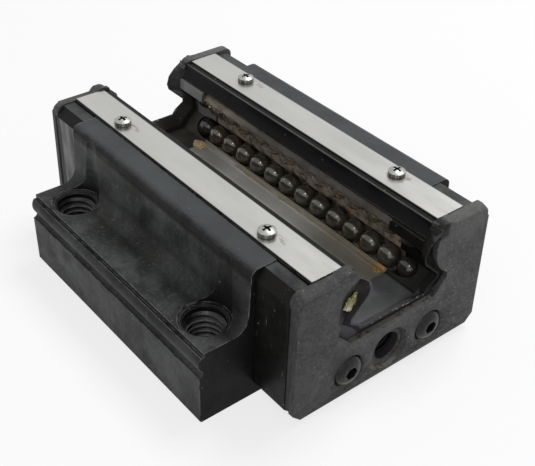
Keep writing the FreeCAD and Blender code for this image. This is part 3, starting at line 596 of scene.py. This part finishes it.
def cover_resin():
    """Moulded resin, greyed and speckled by use, with dark grease and painted shade in the chip of the left
    lobe.
    """
    look = Look("cover_resin", specular=0.14)
    patches = look.patchy(5.0, 0.3, 0.75, detail=5.0)
    colour = look.mix(patches, (0.050, 0.0498, 0.051), (0.080, 0.079, 0.080))
    mottle = look.patchy(1.1, 0.50, 0.66, detail=6.0, seed=9.0)
    colour = look.coat(colour, (0.026, 0.0255, 0.025), mottle, 0.5)
    chalky = look.patchy(7.0, 0.42, 0.6, seed=11.0)
    chalk = look.times(look.patchy(0.9, 0.58, 0.68, detail=6.0, seed=10.0), chalky)
    colour = look.coat(colour, (0.14, 0.138, 0.128), chalk, 0.5)
    grain = look.noise(0.55, detail=2.0, seed=12.0)
    colour = look.coat(colour, (0.120, 0.119, 0.114), look.ramp(grain, 0.54, 0.66), 0.5)
    colour = look.coat(colour, (0.024, 0.0238, 0.023), look.ramp(grain, 0.46, 0.34), 0.5)
    dust = look.times(look.specks(0.55, 0.22), look.patchy(3.0, 0.40, 0.62, seed=2.0), 0.6)
    colour = look.coat(colour, (0.38, 0.375, 0.33), dust)
    pits = look.times(look.specks(0.5, 0.16, seed=14.0), look.patchy(4.0, 0.40, 0.58, seed=15.0), 0.7)
    colour = look.coat(colour, (0.014, 0.0138, 0.013), pits)
    yellow = look.times(look.specks(0.8, 0.10, seed=6.0), look.patchy(6.0, 0.42, 0.6, seed=7.0), 0.5)
    colour = look.coat(colour, (0.24, 0.19, 0.09), yellow)
    worn = look.times(look.edges(0.25), look.patchy(1.8, 0.35, 0.6, seed=5.0), 0.6)
    colour = look.coat(colour, (0.22, 0.216, 0.205), worn)
    # A pale crust with painted light on the ledge under the rail, and dark grease round the chip
    ledge_z = (16.0, 15.0)
    ledge = look.times(look.facing("Z", 0.8, 0.95), look.past("Z", *ledge_z))
    crust_and_light = look.mix(mottle, (0.19, 0.187, 0.160), (0.055, 0.052, 0.040))
    colour = look.coat(colour, crust_and_light, ledge, 0.9)
    lobe_place = (CHIP_PLACE[0], COVER_FRONT_Y, CHIP_PLACE[2])
    lobe = look.spot(lobe_place, 6.5, stretch=(1.1, 1, 0.85), ragged=0.15, size=1.6)
    colour = look.coat(colour, (0.040, 0.036, 0.038), lobe, 0.35)
    # In the chip: dark grease and painted shade
    chip = look.times(lobe, look.past("Y", COVER_FRONT_Y + 0.02, COVER_FRONT_Y + 0.40))
    colour = look.coat(colour, look.mix(patches, (0.011, 0.0085, 0.0065), (0.030, 0.025, 0.021)), chip)
    # Darker towards the left, a paler right top, and black oil on the right lobe's upper end
    darker_x = (6.0, -16.0)
    pale_x = (8.0, 16.0)
    pale_z = (22.0, 27.0)
    oil_x = (8.0, 12.0)
    oil_z = (26.2, 27.4)
    colour = look.coat(colour, (0.030, 0.030, 0.028), look.past("X", *darker_x, 0.0, 0.35))
    pale = look.times(look.past("X", *pale_x), look.past("Z", *pale_z))
    colour = look.coat(colour, (0.14, 0.139, 0.134), pale, 0.35)
    oil = look.times(look.within("X", *oil_x, 0.5), look.past("Z", *oil_z), look.half("front"))
    colour = look.coat(colour, (0.0065, 0.0062, 0.0055), oil, 0.92)
    # Painted shade round the screws and the port
    port_z = PORT["pos_m"][2] / MM
    port_r = PORT["dims"]["r_mm"]
    for across in SIDES.values():
        head = (across * END_SCREW_X, COVER_FRONT_Y, END_SCREW_Z)
        ring = look.spot(head, END_SCREW_R + 0.75, ragged=0.10)
        colour = look.coat(colour, (0.009, 0.0085, 0.007), look.ramp(ring, 0.0, 0.35), 0.85)
    ring = look.spot((0.0, COVER_FRONT_Y, port_z), port_r + 0.85, ragged=0.12)
    colour = look.coat(colour, (0.020, 0.0185, 0.013), look.ramp(ring, 0.0, 0.35), 0.75)
    # A rusty arc on the right of the port, and a wipe of yellow grease below it
    arc_place = (0.3, COVER_FRONT_Y, port_z + 0.2)
    arc_x = (0.5, 2.2)
    inner = look.ramp(look.spot(arc_place, port_r + 0.75, ragged=0.04), 0.0, 0.12)
    outer = look.ramp(look.spot(arc_place, port_r + 1.35, ragged=0.04), 0.0, 0.12)
    rust = look.times(look.math("SUBTRACT", outer, inner), look.past("X", *arc_x))
    colour = look.coat(colour, (0.014, 0.007, 0.005), rust, 0.85)
    wipe_place = (-3.6, COVER_FRONT_Y + 0.5, port_z - 2.6)
    wipe = look.spot(wipe_place, 1.5, ragged=0.4)
    colour = look.coat(colour, (0.16, 0.145, 0.085), wipe, 0.5)
    look.set("Base Color", colour)
    look.set("Roughness", look.ramp(look.noise(1.5), 0.3, 0.7, 0.44, 0.60))
    look.relief(look.noise(0.3, detail=4.0), 0.03, round_edges=0.3)
    return look.material


def floor_sheet():
    """Formed sheet under a film of old grease, stained amber along the ball rows."""
    look = Look("floor_sheet", metallic=0.2, specular=0.4)
    clouds = look.patchy(6.0, 0.3, 0.7, detail=4.0, stretch=(1, 0.35, 1))
    colour = look.mix(clouds, (0.52, 0.51, 0.48), (0.68, 0.665, 0.63))
    # Dull towards both ends, and brown at the front
    end_y = (14.0, 23.0)
    brown_y = (-4.0, -18.0)
    dull = look.mix(clouds, (0.33, 0.325, 0.305), (0.46, 0.45, 0.425))
    colour = look.coat(colour, dull, look.ramp(look.apart("Y"), *end_y))
    brown = look.mix(clouds, (0.175, 0.157, 0.118), (0.255, 0.232, 0.182))
    colour = look.coat(colour, brown, look.past("Y", *brown_y), 0.85)
    # Dark, ragged edges beside the balls, with a broken amber line along them
    edge_x = (8.8, 9.4)
    line_in_x = (8.4, 8.8)
    line_out_x = (9.5, 9.1)
    across = look.math("ADD", look.apart("X"), look.noise(1.6, stretch=(1, 0.4, 1)))
    edge = look.ramp(across, *edge_x)
    colour = look.coat(colour, (0.13, 0.100, 0.060), edge, 0.85)
    line = look.times(look.ramp(across, *line_in_x), look.ramp(across, *line_out_x))
    broken = look.patchy(5.0, 0.35, 0.6, seed=3.0)
    colour = look.coat(colour, (0.20, 0.145, 0.060), line, broken, 0.7)
    stain_place = (8.6, -BODY_END_Y + 1.4, 13.4)
    stain = look.spot(stain_place, 1.5, ragged=0.45, size=1.2)
    colour = look.coat(colour, (0.34, 0.19, 0.04), stain, 0.9)
    look.set("Base Color", colour)
    look.set("Roughness", look.ramp(look.noise(1.6), 0.3, 0.7, 0.28, 0.46))
    look.relief(look.noise(0.9), 0.02, round_edges=0.2)
    return look.material


def retainer_resin():
    """Brown resin under old grease, which has dried paler at the rear."""
    look = Look("retainer_resin", specular=0.4)
    film = look.patchy(1.2, 0.35, 0.68, detail=4.0, stretch=(1, 0.5, 1))
    colour = look.mix(film, (0.060, 0.052, 0.038), (0.025, 0.018, 0.0115))
    dried_y = (8.0, 24.0)
    dried = look.mix(film, (0.30, 0.255, 0.17), (0.14, 0.105, 0.06))
    colour = look.coat(colour, dried, look.past("Y", *dried_y), 0.7)
    # Painted shade on the retainer's lower part, under the upper balls
    lower_shade = look.past("Z", ROW_Z["upper"] + 1.2, ROW_Z["upper"] + 0.2)
    look.set("Base Color", look.coat(colour, (0.012, 0.010, 0.007), lower_shade, 0.6))
    look.set("Roughness", look.ramp(film, 0.0, 1.0, 0.22, 0.42))
    look.relief(look.noise(0.6), 0.03, round_edges=0.1)
    return look.material


def grease(name, pale, dark):
    """Old grease: waxy, uneven in colour and wet on its ridges."""
    look = Look(name)
    clots = look.patchy(0.7, 0.36, 0.66, detail=4.0)
    look.set("Base Color", look.mix(clots, pale, dark))
    look.set("Roughness", look.ramp(clots, 0.0, 1.0, 0.22, 0.40))
    look.set("Subsurface Weight", 0.25)
    look.set("Subsurface Scale", 0.4 * MM)
    look.relief(look.noise(0.35), 0.04)
    return look.material


LOOKS = {
    "oxide_steel": oxide_steel(),
    "satin_steel": satin_steel(),
    "ball_steel": ball_steel(),
    "bright_screw": bright_screw(),
    "black_screw": black_screw(),
    "black_resin": black_resin(),
    "guide_resin": black_resin("guide_resin"),
    "lip_rubber": lip_rubber(),
    "cover_resin": cover_resin(),
    "floor_sheet": floor_sheet(),
    "retainer_resin": retainer_resin(),
}
SEAL_RUBBER = seal_rubber()
THREAD_STEEL = thread_steel()
BROWN_GREASE = grease("brown_grease", (0.105, 0.077, 0.044), (0.035, 0.022, 0.010))
PALE_GREASE = grease("pale_grease", (0.42, 0.42, 0.20), (0.17, 0.15, 0.05))
WHITE_GREASE = grease("white_grease", (0.60, 0.60, 0.46), (0.30, 0.28, 0.14))
CREAM_GREASE = grease("cream_grease", (0.66, 0.53, 0.33), (0.50, 0.33, 0.12))
AMBER_GREASE = grease("amber_grease", (0.36, 0.24, 0.06), (0.24, 0.12, 0.03))

for subpart in frame["record"]["subparts"]:
    mesh = NODES[subpart["node"]].data
    mesh.materials.clear()
    mesh.materials.append(LOOKS[subpart["material_slot"]])
for end in ENDS:
    NODES["end_seal_" + end].data.materials[0] = SEAL_RUBBER


def piece(name, mesh, material):
    """A new piece of the block, which moves with it."""
    made = bpy.data.objects.new(name, mesh)
    bpy.context.scene.collection.objects.link(made)
    mesh.materials.append(material)
    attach(made, BLOCK)
    return made


def grid_mesh(name, rows):
    """A closed skin through rows of points, each row a closed ring, with capped ends."""
    shell = bmesh.new()
    rings = [[shell.verts.new(point) for point in row] for row in rows]
    count = len(rings[0])
    for low, high in zip(rings, rings[1:]):
        for k in range(count):
            after = (k + 1) % count
            shell.faces.new((low[k], low[after], high[after], high[k]))
    shell.faces.new(rings[0])
    shell.faces.new(rings[-1])
    bmesh.ops.recalc_face_normals(shell, faces=shell.faces)
    mesh = bpy.data.meshes.new(name)
    shell.to_mesh(mesh)
    shell.free()
    for face in mesh.polygons:
        face.use_smooth = True
    return mesh


# Threads of the tapped holes

def thread(name, foot, axis, wall_r, length, pitch, material):
    """The helical ridge of an inside thread, from its foot along an axis."""
    depth = THREAD_SHARE * pitch
    crest = 0.10 * pitch
    root = 0.48 * pitch
    least = 0.02
    steps_per_turn = 40
    steps = int((length / pitch - 1) * steps_per_turn)
    turn = Vector((0, 0, 1)).rotation_difference(Vector(axis)).to_matrix().to_4x4()
    place = Matrix.Translation(Vector(foot) * MM) @ turn
    rows = []
    for k in range(steps + 1):
        angle = 2 * math.pi * k / steps_per_turn
        rise = pitch / 2 + pitch * k / steps_per_turn
        run_out = min(1.0, k / steps_per_turn, (steps - k) / steps_per_turn)
        crest_r = wall_r - depth * max(run_out, least)
        ring = []
        for radius, up in ((wall_r, -root), (crest_r, -crest), (crest_r, crest), (wall_r, root)):
            point = Vector((radius * math.cos(angle), radius * math.sin(angle), rise + up)) * MM
            ring.append(place @ point)
        rows.append(ring)
    made = piece(name, grid_mesh(name, rows), material)
    for face in made.data.polygons:
        face.use_smooth = False
    return made


def mount_threads():
    """The threads of the four flange holes."""
    chamfer = 0.4
    seat_z = 15.7
    for side, across in SIDES.items():
        for end, along in ENDS.items():
            foot = (across * HOLE_PLACE[0], along * HOLE_PLACE[1], chamfer)
            thread("mount_thread_%s_%s" % (end, side), foot, (0, 0, 1), HOLES["hole_r_mm"],
                   seat_z - 2 * chamfer, THREAD_PITCH, THREAD_STEEL)


def port_thread():
    """The thread of the grease port, in the end plate behind the cover."""
    pitch = 0.75
    inward = -Vector(PORT["axis"])
    foot = Vector(PORT["pos_m"]) / MM
    skipped = PLATE_FRONT_Y - foot.y
    length = PORT["dims"]["length_mm"] - skipped
    thread("grease_port_thread", foot + inward * skipped, inward, PORT["dims"]["r_mm"], length, pitch,
           LOOKS["black_resin"])


# Old grease

def grease_web(side, across):
    """Grease that hangs from the upper retainer's tip and closes round the balls in scallops."""
    inner_r = BALL_R + 0.16
    outer_r = BALL_R + 0.42
    start = math.radians(150.0)
    short = math.radians(14.0)
    long = math.radians(50.0)
    length = 2 * BODY_END_Y - 1.5
    steps = 360
    sharpness = 1.5
    wander_rate = 0.35
    wobble_size = 0.05
    wobble_rates = (1.3, 3.0)
    side_seed = across * 7.0
    section = ((inner_r, 0), (outer_r, 0), (outer_r, 0.5), (outer_r - 0.08, 0.9),
               (inner_r + 0.06, 1.0), (inner_r, 0.5))
    rows = []
    for k in range(steps + 1):
        y = length * (k / steps - 0.5)
        between = 0.5 - 0.5 * math.cos(2 * math.pi * (y / BALL_PITCH))
        wander = noise.noise(Vector((side_seed, y * wander_rate, 0)))
        reach = short + (long - short) * (1 - between) ** sharpness * (0.75 + 0.5 * wander)
        ring = []
        for radius, share in section:
            angle = start + reach * share
            spot = Vector((y * wobble_rates[0], radius * wobble_rates[1], across))
            wobble = wobble_size * noise.noise(spot)
            x = across * (ROW_X + (radius + wobble) * math.cos(angle))
            ring.append(Vector((x, y, ROW_Z["upper"] + (radius + wobble) * math.sin(angle))) * MM)
        rows.append(ring)
    name = "grease_web_" + side
    piece(name, grid_mesh(name, rows), BROWN_GREASE)


def lumpy_mesh(name, centre, size, lean, rough, seed):
    """A closed egg with lumps on it, leaned over by an angle about Y."""
    lump_scale = 1.9
    falloff = 0.9
    spread = 2.0
    octaves = 4
    turn = Matrix.Rotation(lean, 3, "Y")
    shell = bmesh.new()
    bmesh.ops.create_icosphere(shell, subdivisions=5, radius=1.0)
    for vert in shell.verts:
        direction = vert.co.normalized()
        lump = noise.fractal(direction * lump_scale + Vector((seed, 0, 0)), falloff, spread, octaves)
        stretched = Vector(d * s for d, s in zip(direction, size))
        vert.co = (Vector(centre) + turn @ stretched * (1 + rough * lump)) * MM
    mesh = bpy.data.meshes.new(name)
    shell.to_mesh(mesh)
    shell.free()
    for face in mesh.polygons:
        face.use_smooth = True
    return mesh


def grease_blob(name, centre, size, material, seed, lean=0.0):
    """A clot of grease with lumps on it."""
    rough = 0.42
    piece(name, lumpy_mesh(name, centre, size, lean, rough, seed), material)


def old_grease():
    """Webs round the upper balls, clots in the chip and lumps on the floor retainer."""
    for side, across in SIDES.items():
        grease_web(side, across)
    bed_y = COVER_FRONT_Y + 0.95
    lean = math.radians(53.0)
    grease_blob("grease_clot_front", (-10.5, bed_y, 22.3), (0.75, 0.5, 1.35), PALE_GREASE, 4.0, lean)
    grease_blob("grease_crumb_front", (-11.35, bed_y - 0.25, 21.75), (0.65, 0.45, 0.6), WHITE_GREASE, 12.0)
    grease_blob("grease_crumb_low_front", (-10.75, bed_y - 0.2, 21.3), (0.5, 0.4, 0.45), WHITE_GREASE, 15.0)
    grease_blob("grease_wisp_front", (-9.75, bed_y - 0.1, 23.25), (0.32, 0.3, 0.95), PALE_GREASE, 18.0,
                lean / 2)
    grease_blob("grease_crust_front", (-9.5, bed_y + 0.1, 21.9), (0.6, 0.35, 0.8), BROWN_GREASE, 21.0, lean)
    grease_blob("grease_lump_rear", (7.3, BODY_END_Y - 0.2, 13.0), (1.2, 1.9, 0.5), CREAM_GREASE, 7.0)
    grease_blob("grease_lump_front", (8.0, -BODY_END_Y + 1.6, 13.1), (0.7, 1.1, 0.35), AMBER_GREASE, 9.0)


# The chipped front cover

def chipped_cover():
    """The front cover with a bite out of its left lobe, in the place of the whole one."""
    name = "chipped_front_cover"
    shell = bmesh.new()
    shell.from_mesh(NODES["end_cover_front"].data)
    bmesh.ops.remove_doubles(shell, verts=shell.verts, dist=WELD)
    whole = bpy.data.meshes.new(name)
    shell.to_mesh(whole)
    shell.free()
    made = piece(name, whole, LOOKS["cover_resin"])
    rough = 0.07
    seed = 3.0
    egg = lumpy_mesh("chip", CHIP_PLACE, CHIP_SIZE, CHIP_LEAN, rough, seed)
    cutter = bpy.data.objects.new("chip", egg)
    bpy.context.scene.collection.objects.link(cutter)
    cut = made.modifiers.new("cut", "BOOLEAN")
    cut.solver = "EXACT"
    cut.object = cutter
    seen = made.evaluated_get(bpy.context.evaluated_depsgraph_get())
    made.data = bpy.data.meshes.new_from_object(seen)
    made.modifiers.clear()
    bpy.data.objects.remove(cutter)
    for face in made.data.polygons:
        face.use_smooth = True
    made.data.set_sharp_from_angle(angle=COVER_SHARP)
    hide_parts("end_cover_front")


def crown(end, along, side, across):
    """The smooth top of an end cover, from its outer shoulder to the hump beside the end of a strip."""
    hump_x = 11.45
    hump_width = 2.45
    hump_steps = 10
    shoulder_x = 22.7
    shoulder_steps = 6
    inner_x = 9.3
    inner_z = 27.9
    middle_x = 16.0
    half_width = 6.7
    fullness = 2.2
    flat_depth = 0.9
    skirt = 1.0
    tuck_x = 0.8
    tuck_z = 0.6
    start_y = PLATE_REAR_Y + 0.02
    end_y = -COVER_FRONT_Y
    near_z, far_z, hump_z, shoulder_r = CROWN_SHAPES[end, side]
    # Depth along the rail, level of the flat and how far the skin draws in there
    stations = [(start_y, near_z, 0.0), (start_y + flat_depth, near_z, 0.0)]
    stations += [(end_y - depth, far_z, inset) for depth, inset in CROWN_EDGE]
    rows = []
    for y, level, inset in stations:
        points = [(shoulder_x, level - shoulder_r - skirt)]
        for k in range(shoulder_steps + 1):
            angle = math.pi / 2 * k / shoulder_steps
            x = shoulder_x - shoulder_r * (1 - math.cos(angle))
            points.append((x, level - shoulder_r * (1 - math.sin(angle))))
        for k in range(hump_steps):
            rise = math.sin(math.pi / 2 * k / hump_steps)
            x = hump_x + hump_width * math.cos(math.pi / 2 * k / hump_steps)
            points.append((x, level + (hump_z - level) * rise ** fullness))
        for k in range(hump_steps + 1):
            fall = math.cos(math.pi / 2 * k / hump_steps)
            x = hump_x - (hump_x - inner_x) * math.sin(math.pi / 2 * k / hump_steps)
            points.append((x, inner_z + (hump_z - inner_z) * fall ** fullness))
        points.append((inner_x + tuck_x, inner_z - tuck_z))
        drawn = [(middle_x + (x - middle_x) * (1 - inset / half_width), z - inset) for x, z in points]
        rows.append([Vector((across * x, along * y, z)) * MM for x, z in drawn])
    name = "crown_%s_%s" % (end, side)
    mesh = grid_mesh(name, rows)
    mesh.set_sharp_from_angle(angle=CROWN_SHARP)
    piece(name, mesh, LOOKS["cover_resin"])


def crowns():
    """The tops of both end covers."""
    for end, along in ENDS.items():
        for side, across in SIDES.items():
            crown(end, along, side, across)


# Stage

def aimed(eye, aim, roll=0.0):
    """The placement of a camera or lamp that looks from one point at another."""
    turn = (aim - eye).to_track_quat("-Z", "Y").to_matrix().to_4x4()
    return Matrix.Translation(eye) @ turn @ Matrix.Rotation(roll, 4, "Z")


def camera():
    """The camera that took the photograph."""
    lens = bpy.data.cameras.new("camera")
    lens.sensor_width = SENSOR
    lens.lens = FOCAL_PIXELS / IMAGE_WIDTH * SENSOR
    lens.clip_start = NEAR_CLIP
    made = bpy.data.objects.new("camera", lens)
    bpy.context.scene.collection.objects.link(made)
    made.matrix_world = aimed(EYE, AIM, ROLL)
    bpy.context.scene.camera = made


def lamp(name, eye, size, power):
    """A soft square lamp over the block."""
    light = bpy.data.lights.new(name, "AREA")
    light.size = size
    light.energy = power
    made = bpy.data.objects.new(name, light)
    bpy.context.scene.collection.objects.link(made)
    made.matrix_world = aimed(Vector(eye), LAMP_AIM)


def seen_plainly(nodes, links):
    """1 for the rays that see the background itself or its mirror image, and 0 for light."""
    path = nodes.new("ShaderNodeLightPath")
    total = path.outputs["Is Camera Ray"]
    for name in ("Is Glossy Ray", "Is Transmission Ray"):
        either = nodes.new("ShaderNodeMath")
        either.operation = "MAXIMUM"
        links.new(total, either.inputs[0])
        links.new(path.outputs[name], either.inputs[1])
        total = either.outputs[0]
    return total


def world(ambient):
    """A white background that lights the block by a share of its strength."""
    made = bpy.data.worlds.new("studio")
    made.use_nodes = True
    nodes, links = made.node_tree.nodes, made.node_tree.links
    background = nodes["Background"]
    background.inputs["Color"].default_value = (1, 1, 1, 1)
    strength = nodes.new("ShaderNodeMapRange")
    links.new(seen_plainly(nodes, links), strength.inputs["Value"])
    strength.inputs["To Min"].default_value = ambient
    strength.inputs["To Max"].default_value = 1.0
    links.new(strength.outputs["Result"], background.inputs["Strength"])
    bpy.context.scene.world = made


def floor(shadow):
    """A pale floor that stays near white and keeps a share of the block's shadow."""
    reach = 3.0
    tone = 0.86
    mesh = bpy.data.meshes.new("floor")
    corners = [(-reach, -reach, 0), (reach, -reach, 0), (reach, reach, 0), (-reach, reach, 0)]
    mesh.from_pydata(corners, [], [(0, 1, 2, 3)])
    made = bpy.data.objects.new("floor", mesh)
    bpy.context.scene.collection.objects.link(made)
    material = bpy.data.materials.new("floor_paint")
    material.use_nodes = True
    nodes, links = material.node_tree.nodes, material.node_tree.links
    nodes.clear()
    paint = nodes.new("ShaderNodeBsdfDiffuse")
    paint.inputs["Color"].default_value = (tone, tone, tone, 1)
    glow = nodes.new("ShaderNodeEmission")
    amount = nodes.new("ShaderNodeMath")
    amount.operation = "MULTIPLY"
    links.new(seen_plainly(nodes, links), amount.inputs[0])
    amount.inputs[1].default_value = 1 - shadow
    blend = nodes.new("ShaderNodeMixShader")
    links.new(amount.outputs[0], blend.inputs[0])
    links.new(paint.outputs[0], blend.inputs[1])
    links.new(glow.outputs[0], blend.inputs[2])
    output = nodes.new("ShaderNodeOutputMaterial")
    links.new(blend.outputs[0], output.inputs["Surface"])
    mesh.materials.append(material)


mount_threads()
port_thread()
old_grease()
chipped_cover()
crowns()
camera()
world(ambient=0.42)
for lamp_name, (lamp_eye, lamp_size, lamp_power) in LAMPS.items():
    lamp(lamp_name, lamp_eye, lamp_size, lamp_power)
floor(shadow=0.25)
bpy.context.scene.view_settings.view_transform = "Standard"
